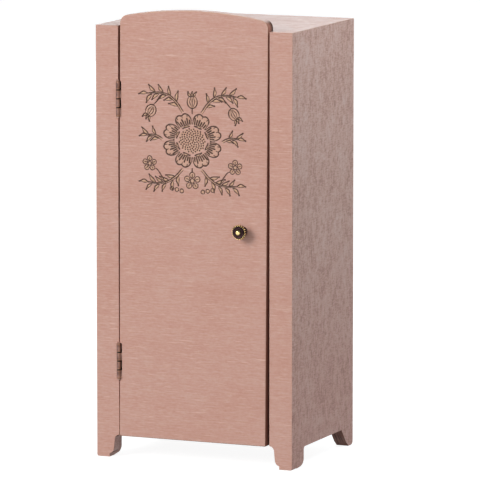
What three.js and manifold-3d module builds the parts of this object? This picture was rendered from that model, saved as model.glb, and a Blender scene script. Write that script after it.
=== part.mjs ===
// Miniature wardrobe for a dolls house: a painted box carcass on bracket feet, with one inset door
// that has an arched top, hangs on two small rolled butt hinges and is pulled by a toothed knob.
//
// Millimetres, +Z up, front towards -Y. The origin is on the floor, under the middle of the whole
// object (the knob counts in its depth). Left and right are as seen from the front.

import * as THREE from 'three';
import { mergeVertices } from 'three/addons/utils/BufferGeometryUtils.js';
import Module from 'manifold-3d';

const wasm = await Module();
wasm.setup();

// ---------- driving dimensions ----------

const CABINET = { width: 96.4, depth: 73.5, height: 198 };
const BOARD = 6;               // thickness of the sides, stiles, top, bottom and door
const BACK_BOARD = 3;          // thickness of the back panel
const STILE_WIDTH = 11.1;      // width of the front stiles that cover the sides' front edges
const GLUE_LINE = 0.05;        // gap left between boards that are glued face to face
const FLOOR_GAP = 10;          // height of the bottom panel and of the door above the floor
const OVERCUT = 1;             // how far a cutting tool runs past the face it opens

const STILE_FOOT = {
  cove: 2.3,                   // hollow quarter round under the stile's inner edge
  ankleTop: 8.1,
  ankleBottom: 4.8,
  ankleTaper: 0.3,             // how much the ankle narrows on its way down
  toe: 2.2,                    // width of the oval quarter that steps in to the pad
  toeDrop: 3.2,                // and its height
  outerCorner: 0.8,            // rounded outer corner at the floor
};

const SIDE_FRONT_FOOT = {
  reach: 14.1,                 // from the cabinet's front to the ankle
  cutHeight: 8.7,              // height of the cut-out between the feet
  cove: 1.4,
  ankleBottom: 3.4,
  toe: 4.4,                    // width of the oval quarter under the ankle
  toeHeight: 0.3,              // it ends just above the floor
  padReach: 6.5,
};

const SIDE_REAR_FOOT = {
  topReach: 13.8,              // from the cabinet's back to the cut-out's rear corner
  kneeReach: 11.2,
  kneeHeight: 5.6,
  toeReach: 8.2,
  toeHeight: 2.2,
  padReach: 5.6,
  padHeight: 0.3,
  heel: 1.8,                   // rounded lower back corner
};

const DOOR = {
  leftTop: -36.2,
  leftBottom: -36.95,
  rightTop: 36.45,
  rightBottom: 35.2,
  peak: 206,                   // height of the arch's highest point
  archRadius: 185,
  shoulderRadius: 4,
  stopGap: 0.3,                // between the closed door and the panels that stop it
};

const HINGE = {
  upperCentre: 164.85,
  lowerCentre: 44.7,
  proud: 0.4,                  // how far the axis stands in front of the cabinet's front
  length: 16,
  knuckles: 4,
  knuckleGap: 0.15,
  barrelRadius: 0.9,
  sheet: 0.4,
  pinRadius: 0.42,
  curlDegrees: 285,            // how far the sheet wraps round the pin
  leafReach: 5,                // from the axis to the leaf's rear edge
  doorOffset: 0.5,             // how far the door's leaf is set out from its knuckles
  bridgeStart: 0.2,            // from the axis back to the strip that joins that leaf to them
  swingGap: 0.15,              // room round the other leaf's turning knuckles
  pocketGap: 0.1,              // room round a leaf in its mortise
  pinHeadRadius: 0.8,
  capHeight: 0.5,              // the low dome on top of the pin
  tipHeight: 0.8,              // the round tip below it
};

const NAIL = {
  depth: 3,                    // behind the hinge axis
  spread: 4.5,                 // above and below the hinge's centre
  shankRadius: 0.38,
  length: 4,
  point: 0.8,                  // length of the tapered end
  headRadius: 0.8,
  headHeight: 0.33,
  headGap: 0.02,               // between the head and the leaf
  pilotRadius: 0.45,
  pilotSpare: 0.3,             // how much deeper the pilot hole is than the nail
};

const KNOB = {
  x: 24,
  z: 107.6,
  reach: 6,
  baseRadius: 2.35,            // the flange on the door
  baseHeight: 0.5,
  waistRadius: 1.3,
  waistStart: 1.1,
  waistEnd: 1.9,
  cupRadius: 3.0,              // the back of the head, under the teeth
  rimRadius: 3.5,
  rimBack: 3.4,
  rimFront: 4.9,
  beadRadius: 2.5,             // the raised bead between the teeth and the dish
  beadHeight: 0.3,
  dishRadius: 2.1,
  dishDrop: 0.1,
  bossRadius: 1.25,
  teeth: 20,
  toothDepth: 0.35,
  boreRadius: 0.9,
  boreDepth: 3.2,
};

const SCREW = {
  shankRadius: 0.8,
  intoKnob: 2.8,
  point: 0.7,                  // length of the tapered end
  pointRadius: 0.3,
  holeRadius: 0.95,
  headRadius: 1.7,
  headEdge: 0.6,               // height of the head's straight side
  headHeight: 1.0,
  headTopRadius: 1.3,
  slot: 0.5,
  slotDepth: 0.5,
};

const RAIL = { radius: 2.5, z: 170, socketDepth: 3, socketGap: 0.15, endGap: 0.1 };
const MAGNET = { radius: 2, height: 2, x: 30, socketGap: 0.15 };

// ---------- derived places ----------

const FRONT = -(CABINET.depth - KNOB.reach) / 2;
const BACK = FRONT + CABINET.depth;
const MIDDLE = (FRONT + BACK) / 2;
const HALF_WIDTH = CABINET.width / 2;
const SIDE_INNER = HALF_WIDTH - BOARD;
const STILE_INNER = HALF_WIDTH - STILE_WIDTH;
const TOP_UNDERSIDE = CABINET.height - BOARD;
const PANEL_FRONT = FRONT + BOARD + DOOR.stopGap;
const HINGE_X = -STILE_INNER;
const HINGE_Y = FRONT - HINGE.proud;
const KNUCKLE_PITCH = HINGE.length / HINGE.knuckles;
const LEAF_INNER = HINGE.barrelRadius - HINGE.sheet;
const MAGNET_Z = CABINET.height - BOARD / 2;

// ---------- materials ----------

const FINISHES = {
  pinkPaint: { color: 0xc99f93, roughness: 0.72, metalness: 0 },
  bareBeech: { color: 0xcdac84, roughness: 0.65, metalness: 0 },
  agedBronze: { color: 0x6b5136, roughness: 0.42, metalness: 0.9 },
  agedBrass: { color: 0x8f6a34, roughness: 0.35, metalness: 0.95 },
  steel: { color: 0x8f8d88, roughness: 0.4, metalness: 1 },
};

function namedMesh(name, geometry, finish) {
  const mesh = new THREE.Mesh(geometry, new THREE.MeshStandardMaterial(FINISHES[finish]));
  mesh.name = name;
  return mesh;
}

// ---------- solids ----------

function toSolid(geometry) {
  const bare = geometry.clone();
  bare.deleteAttribute('normal');
  bare.deleteAttribute('uv');
  const welded = mergeVertices(bare);
  const vertProperties = Float32Array.from(welded.attributes.position.array);
  const triVerts = Uint32Array.from(welded.index.array);
  return new wasm.Manifold(new wasm.Mesh({ numProp: 3, vertProperties, triVerts }));
}

function toGeometry(solid) {
  const { vertProperties, triVerts } = solid.getMesh();
  const geometry = new THREE.BufferGeometry();
  geometry.setAttribute('position', new THREE.BufferAttribute(vertProperties, 3));
  geometry.setIndex(new THREE.BufferAttribute(triVerts, 1));
  geometry.computeVertexNormals();
  return geometry;
}

function cut(body, tools) {
  let solid = toSolid(body);
  for (const tool of tools) {
    solid = solid.subtract(toSolid(tool));
  }
  return toGeometry(solid);
}

function join(bodies) {
  const solids = bodies.map(toSolid);
  return toGeometry(solids.reduce((whole, piece) => whole.add(piece)));
}

// A box between two corners.
function block(low, high) {
  const size = high.map((value, axis) => value - low[axis]);
  const middle = high.map((value, axis) => (value + low[axis]) / 2);
  return new THREE.BoxGeometry(...size).translate(...middle);
}

// A round bar along X, Y or Z between two places on that axis.
function bar(axis, radius, from, to, centre, sides = 20) {
  const geometry = new THREE.CylinderGeometry(radius, radius, Math.abs(to - from), sides);
  if (axis === 'x') geometry.rotateZ(Math.PI / 2);
  if (axis === 'z') geometry.rotateX(Math.PI / 2);
  const along = (from + to) / 2;
  const place = { x: [along, ...centre], y: [centre[0], along, centre[1]], z: [...centre, along] };
  return geometry.translate(...place[axis]);
}

// Points on an arc, in degrees, both ends included. With a second radius it is part of an oval.
function arc(centreX, centreY, radius, fromDegrees, toDegrees, steps, radiusUp = radius) {
  const points = [];
  for (let step = 0; step <= steps; step += 1) {
    const angle = THREE.MathUtils.degToRad(THREE.MathUtils.lerp(fromDegrees, toDegrees, step / steps));
    points.push([centreX + radius * Math.cos(angle), centreY + radiusUp * Math.sin(angle)]);
  }
  return points;
}

function extrude(points, depth) {
  const outline = new THREE.Shape(points.map(([x, y]) => new THREE.Vector2(x, y)));
  return new THREE.ExtrudeGeometry(outline, { depth, bevelEnabled: false });
}

// A board whose outline is given as (x, z), with its front face at the given y.
function frontBoard(points, front, thickness) {
  return extrude(points, thickness).rotateX(Math.PI / 2).translate(0, front + thickness, 0);
}

// A board whose outline is given as (y, z), starting at the given x.
function sideBoard(points, x, thickness) {
  const turn = new THREE.Matrix4().makeBasis(
    new THREE.Vector3(0, 1, 0),
    new THREE.Vector3(0, 0, 1),
    new THREE.Vector3(1, 0, 0),
  );
  return extrude(points, thickness).applyMatrix4(turn).translate(x, 0, 0);
}

// A turned piece: the profile is (radius, height) from the axis and back to it.
function turned(profile, sides) {
  return new THREE.LatheGeometry(profile.map(([r, h]) => new THREE.Vector2(r, h)), sides);
}

// The outline of a dome, as (radius, height) from its edge to its top.
function dome(radius, edge, top) {
  const steps = 5;
  const rise = top - edge;
  const points = arc(0, 0, 1, 0, 90, steps).map(([across, up]) => [radius * across, edge + rise * up]);
  points[steps][0] = 0;
  return points;
}

// ---------- carcass ----------

// Outline of a front stile, as distance in from the cabinet's outer edge and height.
function stileOutline() {
  const foot = STILE_FOOT;
  const ankle = STILE_WIDTH - foot.cove - foot.ankleTaper;
  return [
    [0, CABINET.height],
    [STILE_WIDTH, CABINET.height],
    ...arc(STILE_WIDTH, foot.ankleTop, foot.cove, 90, 180, 6),
    ...arc(ankle - foot.toe, foot.ankleBottom, foot.toe, 0, -90, 6, foot.toeDrop),
    [ankle - foot.toe, 0],
    ...arc(foot.outerCorner, foot.outerCorner, foot.outerCorner, -90, -180, 4),
  ];
}

function frontStile(side) {
  const points = stileOutline().map(([inward, z]) => [side * (HALF_WIDTH - inward), z]);
  return frontBoard(points, FRONT, BOARD);
}

function leftFrontStile() {
  const tools = [HINGE.upperCentre, HINGE.lowerCentre].flatMap((z) => leafMortise(-1, z));
  return cut(frontStile(-1), tools);
}

// Outline of a side panel, as (y, z), with its cut-out between the two feet.
function sideOutline() {
  const front = SIDE_FRONT_FOOT;
  const rear = SIDE_REAR_FOOT;
  const start = FRONT + BOARD + GLUE_LINE;
  const ankle = FRONT + front.reach;
  const toeDrop = front.ankleBottom - front.toeHeight;
  return [
    [start, CABINET.height],
    [start, 0],
    [FRONT + front.padReach, 0],
    ...arc(ankle - front.toe, front.ankleBottom, front.toe, -90, 0, 8, toeDrop),
    ...arc(ankle + front.cove, front.cutHeight - front.cove, front.cove, 180, 90, 5),
    [BACK - rear.topReach, front.cutHeight],
    [BACK - rear.kneeReach, rear.kneeHeight],
    [BACK - rear.toeReach, rear.toeHeight],
    [BACK - rear.padReach, rear.padHeight],
    [BACK - rear.padReach + rear.padHeight, 0],
    ...arc(BACK - rear.heel, rear.heel, rear.heel, -90, 0, 5),
    [BACK, CABINET.height],
  ];
}

function sidePanel(side) {
  const outerX = side * HALF_WIDTH;
  const innerX = side * SIDE_INNER;
  const panel = sideBoard(sideOutline(), Math.min(outerX, innerX), BOARD);
  const socketEnd = innerX + side * RAIL.socketDepth;
  const socketRadius = RAIL.radius + RAIL.socketGap;
  const socket = bar('x', socketRadius, innerX - side * OVERCUT, socketEnd, [MIDDLE, RAIL.z], 28);
  return cut(panel, [socket]);
}

function levelPanel(bottom, back) {
  const halfWidth = SIDE_INNER - GLUE_LINE;
  return block([-halfWidth, PANEL_FRONT, bottom], [halfWidth, back, bottom + BOARD]);
}

function topPanel() {
  const socketRadius = MAGNET.radius + MAGNET.socketGap;
  const socketEnd = PANEL_FRONT + MAGNET.height + MAGNET.socketGap;
  const socket = bar('y', socketRadius, PANEL_FRONT - OVERCUT, socketEnd, [MAGNET.x, MAGNET_Z]);
  return cut(levelPanel(TOP_UNDERSIDE, BACK), [socket]);
}

function bottomPanel() {
  return levelPanel(FLOOR_GAP, BACK - BACK_BOARD - GLUE_LINE);
}

function backPanel() {
  const halfWidth = SIDE_INNER - GLUE_LINE;
  return block([-halfWidth, BACK - BACK_BOARD, FLOOR_GAP], [halfWidth, BACK, TOP_UNDERSIDE - GLUE_LINE]);
}

function hangingRail() {
  const end = SIDE_INNER + RAIL.socketDepth - RAIL.endGap;
  return bar('x', RAIL.radius, -end, end, [MIDDLE, RAIL.z], 28);
}

function cabinetMagnet() {
  return bar('y', MAGNET.radius, PANEL_FRONT, PANEL_FRONT + MAGNET.height, [MAGNET.x, MAGNET_Z]);
}

// ---------- door ----------

// Outline of the door, as (x, z): straight tapering edges, round shoulders and a shallow arch.
function doorOutline() {
  const middle = (DOOR.leftTop + DOOR.rightTop) / 2;
  const halfWidth = (DOOR.rightTop - DOOR.leftTop) / 2;
  const archCentre = DOOR.peak - DOOR.archRadius;
  const reach = DOOR.archRadius - DOOR.shoulderRadius;
  const across = halfWidth - DOOR.shoulderRadius;
  const shoulderZ = archCentre + Math.sqrt(reach ** 2 - across ** 2);
  const tangent = THREE.MathUtils.radToDeg(Math.atan2(shoulderZ - archCentre, across));
  const archEnds = arc(middle, archCentre, DOOR.archRadius, tangent, 180 - tangent, 24).slice(1, -1);
  return [
    [DOOR.leftBottom, FLOOR_GAP],
    [DOOR.rightBottom, FLOOR_GAP],
    ...arc(middle + across, shoulderZ, DOOR.shoulderRadius, 0, tangent, 7),
    ...archEnds,
    ...arc(middle - across, shoulderZ, DOOR.shoulderRadius, 180 - tangent, 180, 7),
  ];
}

function doorPanel() {
  const back = FRONT + BOARD;
  const magnetRadius = MAGNET.radius + MAGNET.socketGap;
  const magnetEnd = back - MAGNET.height - MAGNET.socketGap;
  const tools = [
    ...leafMortise(1, HINGE.upperCentre),
    ...leafMortise(1, HINGE.lowerCentre),
    bar('y', SCREW.holeRadius, FRONT - OVERCUT, back + OVERCUT, [KNOB.x, KNOB.z]),
    bar('y', magnetRadius, magnetEnd, back + OVERCUT, [MAGNET.x, MAGNET_Z]),
  ];
  return cut(frontBoard(doorOutline(), FRONT, BOARD), tools);
}

function doorMagnet() {
  const back = FRONT + BOARD;
  return bar('y', MAGNET.radius, back - MAGNET.height, back, [MAGNET.x, MAGNET_Z]);
}

// ---------- knob ----------

// The turned part of the knob, as (radius, distance out from the door).
function knobProfile() {
  const dish = KNOB.rimFront - KNOB.dishDrop;
  return [
    [0, 0],
    [KNOB.baseRadius, 0],
    [KNOB.baseRadius, KNOB.baseHeight],
    [KNOB.waistRadius, KNOB.waistStart],
    [KNOB.waistRadius, KNOB.waistEnd],
    [KNOB.cupRadius, KNOB.rimBack],
    [KNOB.cupRadius, KNOB.rimFront],
    [KNOB.beadRadius, KNOB.rimFront + KNOB.beadHeight],
    [KNOB.dishRadius, dish],
    ...dome(KNOB.bossRadius, dish, KNOB.reach),
  ];
}

// The toothed rim: one round bump for each tooth.
function knobRim() {
  const pointsPerTooth = 4;
  const count = KNOB.teeth * pointsPerTooth;
  const points = [];
  for (let index = 0; index < count; index += 1) {
    const angle = (2 * Math.PI * index) / count;
    const dip = KNOB.toothDepth * (0.5 - 0.5 * Math.cos(KNOB.teeth * angle));
    const radius = KNOB.rimRadius - dip;
    points.push([radius * Math.cos(angle), radius * Math.sin(angle)]);
  }
  const rim = extrude(points, KNOB.rimFront - KNOB.rimBack);
  return rim.rotateX(-Math.PI / 2).translate(0, KNOB.rimBack, 0);
}

// Built standing on the door's face with +Y outwards; the mesh's own rotation turns it to -Y.
function knobBody() {
  const bore = bar('y', KNOB.boreRadius, -OVERCUT, KNOB.boreDepth, [0, 0]);
  return cut(join([turned(knobProfile(), 36), knobRim()]), [bore]);
}

// The screw points to -Y: head behind the door, shank through it and into the knob.
function knobScrew() {
  const tip = -(BOARD + SCREW.intoKnob);
  const profile = [
    [0, tip],
    [SCREW.pointRadius, tip],
    [SCREW.shankRadius, tip + SCREW.point],
    [SCREW.shankRadius, GLUE_LINE],
    [SCREW.headRadius, GLUE_LINE],
    [SCREW.headRadius, SCREW.headEdge],
    [SCREW.headTopRadius, SCREW.headHeight],
    [0, SCREW.headHeight],
  ];
  const halfSlot = SCREW.slot / 2;
  const slotFloor = SCREW.headHeight - SCREW.slotDepth;
  const slotReach = SCREW.headRadius + OVERCUT;
  const slot = block([-slotReach, slotFloor, -halfSlot], [slotReach, slotFloor + OVERCUT, halfSlot]);
  return cut(turned(profile, 24), [slot]);
}

// ---------- hinges ----------

// How far from the axis a leaf's outer face lies: the cabinet's leaf is in line with its knuckles.
function leafOuter(side) {
  return HINGE.barrelRadius + (side === 1 ? HINGE.doorOffset : 0);
}

// The mortise and pilot holes for one leaf: side is -1 in the stile and 1 in the door.
function leafMortise(side, centreZ) {
  const bottomX = HINGE_X + side * (leafOuter(side) + HINGE.pocketGap);
  const halfLength = HINGE.length / 2 + HINGE.pocketGap;
  const pocket = block(
    [Math.min(bottomX, HINGE_X), FRONT - OVERCUT, centreZ - halfLength],
    [Math.max(bottomX, HINGE_X), HINGE_Y + HINGE.leafReach + HINGE.pocketGap, centreZ + halfLength],
  );
  const pilotEnd = HINGE_X + side * (leafOuter(side) - HINGE.sheet + NAIL.length + NAIL.pilotSpare);
  const pilots = [-1, 1].map((row) => {
    const centre = [HINGE_Y + NAIL.depth, centreZ + row * NAIL.spread];
    return bar('x', NAIL.pilotRadius, bottomX - side * HINGE.barrelRadius, pilotEnd, centre, 12);
  });
  return [pocket, pinRelief(centreZ), ...pilots];
}

// Room for the pin's cap and tip beyond the two ends of a mortise.
function pinRelief(centreZ) {
  const end = HINGE.length / 2 + GLUE_LINE + HINGE.pocketGap;
  const bottom = centreZ - end - HINGE.tipHeight;
  const top = centreZ + end + HINGE.capHeight;
  return bar('z', HINGE.pinHeadRadius + HINGE.pocketGap, bottom, top, [HINGE_X, HINGE_Y]);
}

// One knuckle, seen along the pin, from the pin's centre, with a strip that runs back to the given y.
function knuckleOutline(side, stripEnd) {
  const outer = arc(0, 0, HINGE.barrelRadius, 0, -HINGE.curlDegrees, 22);
  const inner = arc(0, 0, LEAF_INNER, -HINGE.curlDegrees, 0, 22);
  const points = [[HINGE.barrelRadius, stripEnd], ...outer, ...inner, [LEAF_INNER, stripEnd]];
  return points.map(([x, y]) => [side * x, y]);
}

// A box of sheet metal on one side of the pin, from near to far from it.
function sheetBlock(side, near, far, front, back, bottom, top) {
  const low = Math.min(side * near, side * far);
  const high = Math.max(side * near, side * far);
  return block([low, front, bottom], [high, back, top]);
}

// One knuckle of a leaf. The door's leaf is set out from it, and joined to it by a strip.
function knuckle(side, bottom, height) {
  const far = leafOuter(side);
  const near = far - HINGE.sheet;
  const top = bottom + height;
  const bridgeEnd = HINGE.bridgeStart + HINGE.sheet;
  const stripEnd = side === 1 ? bridgeEnd : HINGE.leafReach;
  const pieces = [extrude(knuckleOutline(side, stripEnd), height).translate(0, 0, bottom)];
  if (side === 1) {
    pieces.push(sheetBlock(side, LEAF_INNER, far, HINGE.bridgeStart, bridgeEnd, bottom, top));
    pieces.push(sheetBlock(side, near, far, HINGE.bridgeStart, HINGE.leafReach, bottom, top));
  }
  return pieces;
}

// A leaf of sheet metal, centred on the pin. It has every second knuckle, counted from the top.
function hingeLeaf(side, firstKnuckle) {
  const far = leafOuter(side);
  const near = far - HINGE.sheet;
  const half = HINGE.length / 2;
  const start = HINGE.barrelRadius + HINGE.swingGap;
  const pieces = [sheetBlock(side, near, far, start, HINGE.leafReach, -half, half)];
  for (let index = firstKnuckle; index < HINGE.knuckles; index += 2) {
    const bottom = half - (index + 1) * KNUCKLE_PITCH + HINGE.knuckleGap / 2;
    pieces.push(...knuckle(side, bottom, KNUCKLE_PITCH - HINGE.knuckleGap));
  }
  const holes = [-1, 1].map((row) => {
    const centre = [NAIL.depth, row * NAIL.spread];
    return bar('x', NAIL.pilotRadius, side * (near - HINGE.sheet), side * (far + HINGE.sheet), centre, 12);
  });
  return cut(join(pieces), holes);
}

// The pin, with a low cap above the barrel and a round tip below it.
function hingePin() {
  const end = HINGE.length / 2 + GLUE_LINE;
  const profile = [
    ...dome(HINGE.pinHeadRadius, -end, -end - HINGE.tipHeight).reverse(),
    [HINGE.pinRadius, -end],
    [HINGE.pinRadius, end],
    ...dome(HINGE.pinHeadRadius, end, end + HINGE.capHeight),
  ];
  return turned(profile, 20).rotateX(Math.PI / 2);
}

// A nail with its point up the local +Y axis and its domed head below.
function hingeNail() {
  const head = dome(NAIL.headRadius, -NAIL.headGap, -NAIL.headHeight).reverse();
  const profile = [
    ...head,
    [NAIL.shankRadius, -NAIL.headGap],
    [NAIL.shankRadius, NAIL.length - NAIL.point],
    [0, NAIL.length],
  ];
  return turned(profile, 14);
}

function nailMesh(name, side, row) {
  const mesh = namedMesh(name, hingeNail(), 'agedBronze');
  mesh.position.set(side * (leafOuter(side) - HINGE.sheet), NAIL.depth, row * NAIL.spread);
  mesh.rotation.z = (-side * Math.PI) / 2;
  return mesh;
}

// Both leaves, the pin and the four nails of one hinge.
function hingeGroup(label, centreZ) {
  const group = new THREE.Group();
  group.position.set(HINGE_X, HINGE_Y, centreZ);
  group.add(namedMesh(`${label}_hinge_cabinet_leaf`, hingeLeaf(-1, 0), 'agedBronze'));
  group.add(namedMesh(`${label}_hinge_door_leaf`, hingeLeaf(1, 1), 'agedBronze'));
  group.add(namedMesh(`${label}_hinge_pin`, hingePin(), 'agedBronze'));
  for (const [owner, side] of [['cabinet', -1], ['door', 1]]) {
    for (const [place, row] of [['upper', 1], ['lower', -1]]) {
      group.add(nailMesh(`${label}_hinge_${owner}_nail_${place}`, side, row));
    }
  }
  return group;
}

// ---------- the whole wardrobe ----------

function carcassMeshes() {
  return [
    namedMesh('left_side_panel', sidePanel(-1), 'pinkPaint'),
    namedMesh('right_side_panel', sidePanel(1), 'pinkPaint'),
    namedMesh('left_front_stile', leftFrontStile(), 'pinkPaint'),
    namedMesh('right_front_stile', frontStile(1), 'pinkPaint'),
    namedMesh('top_panel', topPanel(), 'pinkPaint'),
    namedMesh('bottom_panel', bottomPanel(), 'pinkPaint'),
    namedMesh('back_panel', backPanel(), 'pinkPaint'),
    namedMesh('hanging_rail', hangingRail(), 'bareBeech'),
    namedMesh('cabinet_magnet', cabinetMagnet(), 'steel'),
  ];
}

function doorMeshes() {
  const knob = namedMesh('knob_body', knobBody(), 'agedBrass');
  knob.position.set(KNOB.x, FRONT, KNOB.z);
  knob.rotation.x = Math.PI;
  const screw = namedMesh('knob_screw', knobScrew(), 'steel');
  screw.position.set(KNOB.x, FRONT + BOARD, KNOB.z);
  return [
    namedMesh('door_panel', doorPanel(), 'pinkPaint'),
    namedMesh('door_magnet', doorMagnet(), 'steel'),
    knob,
    screw,
  ];
}

const wardrobe = new THREE.Group();
wardrobe.add(...carcassMeshes(), ...doorMeshes());
wardrobe.add(hingeGroup('upper', HINGE.upperCentre), hingeGroup('lower', HINGE.lowerCentre));

export default wardrobe;
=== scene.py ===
"""The looks of a miniature wardrobe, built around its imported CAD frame. Metres, +Z up, front towards -Y."""

import math
import random

import bmesh
import bpy
import numpy as np
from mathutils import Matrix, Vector


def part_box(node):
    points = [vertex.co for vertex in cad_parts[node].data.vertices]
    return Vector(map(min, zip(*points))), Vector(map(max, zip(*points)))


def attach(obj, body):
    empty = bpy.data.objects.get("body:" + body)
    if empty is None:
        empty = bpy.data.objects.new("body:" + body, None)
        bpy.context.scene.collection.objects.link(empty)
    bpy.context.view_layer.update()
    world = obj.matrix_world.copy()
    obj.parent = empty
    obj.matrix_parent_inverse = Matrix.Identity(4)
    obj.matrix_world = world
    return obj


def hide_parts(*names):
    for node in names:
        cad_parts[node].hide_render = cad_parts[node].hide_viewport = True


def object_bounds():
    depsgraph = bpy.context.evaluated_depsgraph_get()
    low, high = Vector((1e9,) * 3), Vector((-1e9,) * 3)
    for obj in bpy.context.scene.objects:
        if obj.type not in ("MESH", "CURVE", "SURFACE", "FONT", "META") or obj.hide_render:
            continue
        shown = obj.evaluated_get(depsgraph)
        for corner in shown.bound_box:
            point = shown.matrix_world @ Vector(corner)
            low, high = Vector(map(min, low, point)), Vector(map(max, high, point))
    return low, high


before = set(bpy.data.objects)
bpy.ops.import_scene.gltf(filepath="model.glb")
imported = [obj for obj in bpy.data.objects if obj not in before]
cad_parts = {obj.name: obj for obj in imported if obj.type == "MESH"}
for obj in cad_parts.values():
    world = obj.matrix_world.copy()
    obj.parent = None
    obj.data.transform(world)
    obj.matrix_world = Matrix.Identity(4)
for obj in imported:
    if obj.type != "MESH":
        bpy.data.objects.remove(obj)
CAD_BOX = [list(corner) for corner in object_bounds()]
MM = 0.001

# ---------- driving values ----------

VIEW = {"azimuth": 23.10, "elevation": 8.07, "distance": 2.400, "lens": 393.76, "sensor": 36.0}
AIM_RIGHT = 7.11 * MM          # the camera's aim, right of the cabinet's middle
AIM_HEIGHT = 97.91 * MM
BOARD_ROUND = 0.15 * MM        # how far the cabinet's painted edges are rounded
DOOR_ROUND = 0.42 * MM
METAL_ROUND = 0.07 * MM

# Soft lights: name, azimuth, elevation, distance, size, watts, colour.
SOFTBOXES = (
    ("key_light", -32, 26, 1.8, 0.8, 19.0, (1.0, 0.98, 0.965)),
    ("front_fill", 16, 8, 1.8, 1.0, 4.8, (1.0, 0.99, 0.98)),
    ("side_light", 95, 54, 0.34, 0.16, 0.425, (0.78, 0.95, 1.03)),
    ("backdrop_glow", 203, 14, 1.6, 1.5, 10.3, (0.86, 1.02, 1.08)),
)
WORLD_BANDS = (  # height of the band on a 0 to 1 scale, and its brightness
    (0.34, (0.08, 0.08, 0.08)),
    (0.48, (0.52, 0.525, 0.53)),
    (0.62, (0.60, 0.60, 0.60)),
    (0.85, (0.12, 0.12, 0.12)),
)
FLOOR_GLOW = 0.9               # with the lights' part it comes out just over white
FLOOR_SHADE = 0.34

# The carved ornament, in millimetres on the door's front.
ORNAMENT_CENTRE = (-0.6, 147.3)
ORNAMENT_HALF_WIDTH = 28.3
ORNAMENT_HALF_HEIGHT = 27.3
RELIEF_PITCH = 0.19
LINE_WIDTH = 0.60
LINE_DEPTH = 0.32 * MM
HOLLOW_DEPTH = 0.06 * MM
BLOOM_SIZE = (14.6, 12.6)
BLOOM_INNER = 0.6
GOLDEN_ANGLE = 137.508

# Paint, wear and painted shade, as linear colours.
PAINT_DARK = (0.560, 0.282, 0.210)
PAINT = (0.620, 0.350, 0.284)
PAINT_LIGHT = (0.665, 0.430, 0.366)
PAINT_PALE = (0.80, 0.565, 0.48)
LINEN_DARK = (0.44, 0.225, 0.175)
LINEN_LIGHT = (0.68, 0.455, 0.40)
WORN_EDGE = (0.62, 0.385, 0.255)
# Painted shade: multiplied into the sides, more towards the bottom.
LOW_SIDE_SHADE = (0.985, 0.88, 0.87)
# Partly bare sawn wood, partly painted shade on faces that face down or forward under the cabinet.
SAWN_AND_SHADE_BROWN = (0.15, 0.038, 0.018)
# Painted shade on the narrow edges that face into the gaps beside the door.
GAP_EDGE_SHADE = (0.33, 0.130, 0.084)
# Near black: painted shade deep in those gaps, and the dark knuckle joints and dark streaks on the feet.
SHADE_AND_GRIME_DARK = (0.022, 0.010, 0.007)
CARVED_TAN = (0.66, 0.420, 0.225)
BURNT_BROWN = (0.070, 0.029, 0.017)
FRONT_STOPS = ((0.34, PAINT_DARK), (0.5, PAINT), (0.66, PAINT_LIGHT))
SIDE_STOPS = ((0.41, LINEN_DARK), (0.5, PAINT), (0.59, LINEN_LIGHT))
BEECH_GRAIN = ((0.3, (0.42, 0.26, 0.14)), (0.5, (0.58, 0.39, 0.22)), (0.7, (0.66, 0.47, 0.28)))
BEECH_FLECK = (0.25, 0.13, 0.06)

# How fine the paint's noise is along X, Y and Z, in grains per metre.
FRONT_STREAKS = (150, 150, 2500)
FRONT_MOTTLE = (700, 700, 1300)
FRONT_BANDS = (14, 14, 420)
FRONT_CLOUD = (38, 38, 52)
FRONT_PALE = (130, 130, 2300)
SIDE_UPRIGHT = (1900, 1900, 330)
SIDE_LEVEL = (380, 380, 1900)
SIDE_BLOTCHES = (300, 300, 210)
SIDE_PATCHES = (60, 60, 45)

# Metals: dark tarnish, light tarnish, bare metal.
BRONZE = ((0.125, 0.062, 0.052), (0.31, 0.180, 0.155), (0.70, 0.46, 0.36))
# Tan: painted reflection on faces turned right, and the rubbed rings (partly a painted highlight).
BRONZE_SHEEN_AND_RUB = (0.42, 0.215, 0.125)
# Painted shade on faces turned left.
BRONZE_FLANK_SHADE = (0.13, 0.055, 0.035)
# Painted highlight on the pins' ends.
BRONZE_END_HIGHLIGHT = (0.78, 0.56, 0.48)
BRASS = ((0.012, 0.006, 0.007), (0.048, 0.023, 0.026), (0.95, 0.74, 0.34))
STEEL = ((0.42, 0.42, 0.41), (0.58, 0.58, 0.57), (0.70, 0.70, 0.69))

# The knob's head, as shares of its outer radius and of its reach from the door.
KNOB_TEETH = 20
TOOTH_COLUMNS = 10              # mesh columns for each tooth
TOOTH_START = 0.78
TOOTH_RISE = 0.06
TOOTH_DEPTH = 0.17
TOOTH_SINK = 0.09
TOOTH_GAP_POWER = 1.2          # a lower power makes the gaps between teeth wider
KNOB_BACK = [(0.67, 0.02), (0.66, 0.08), (0.45, 0.17), (0.37, 0.24), (0.38, 0.32)]
KNOB_CUP = [(0.62, 0.46), (0.88, 0.555)]
KNOB_RIM = [(0.98, 0.62), (1.0, 0.70), (0.985, 0.775), (0.93, 0.82), (0.86, 0.83)]
KNOB_DISH = [(0.78, 0.79), (0.66, 0.755), (0.50, 0.745), (0.40, 0.77), (0.36, 0.83)]
KNOB_BOSS = [(0.34, 0.88), (0.28, 0.94), (0.16, 0.985), (0.0, 1.0)]

HINGES = ("upper", "lower")
KNUCKLES = 4
PIN_TIP = 0.65 * MM            # how far the pin stands out of the barrel, as a mean of its two ends
NAIL_PLACES = ("upper", "lower")
LEAF_MARGIN = 1.2 * MM         # edges this near a leaf, a nail or a socket stay sharp
NAIL_MARGIN = 0.6 * MM
SOCKET_MARGIN = 0.5 * MM
BOARDS = (
    "left_side_panel",
    "right_side_panel",
    "right_front_stile",
    "left_front_stile",
    "top_panel",
    "bottom_panel",
    "back_panel",
)


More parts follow.
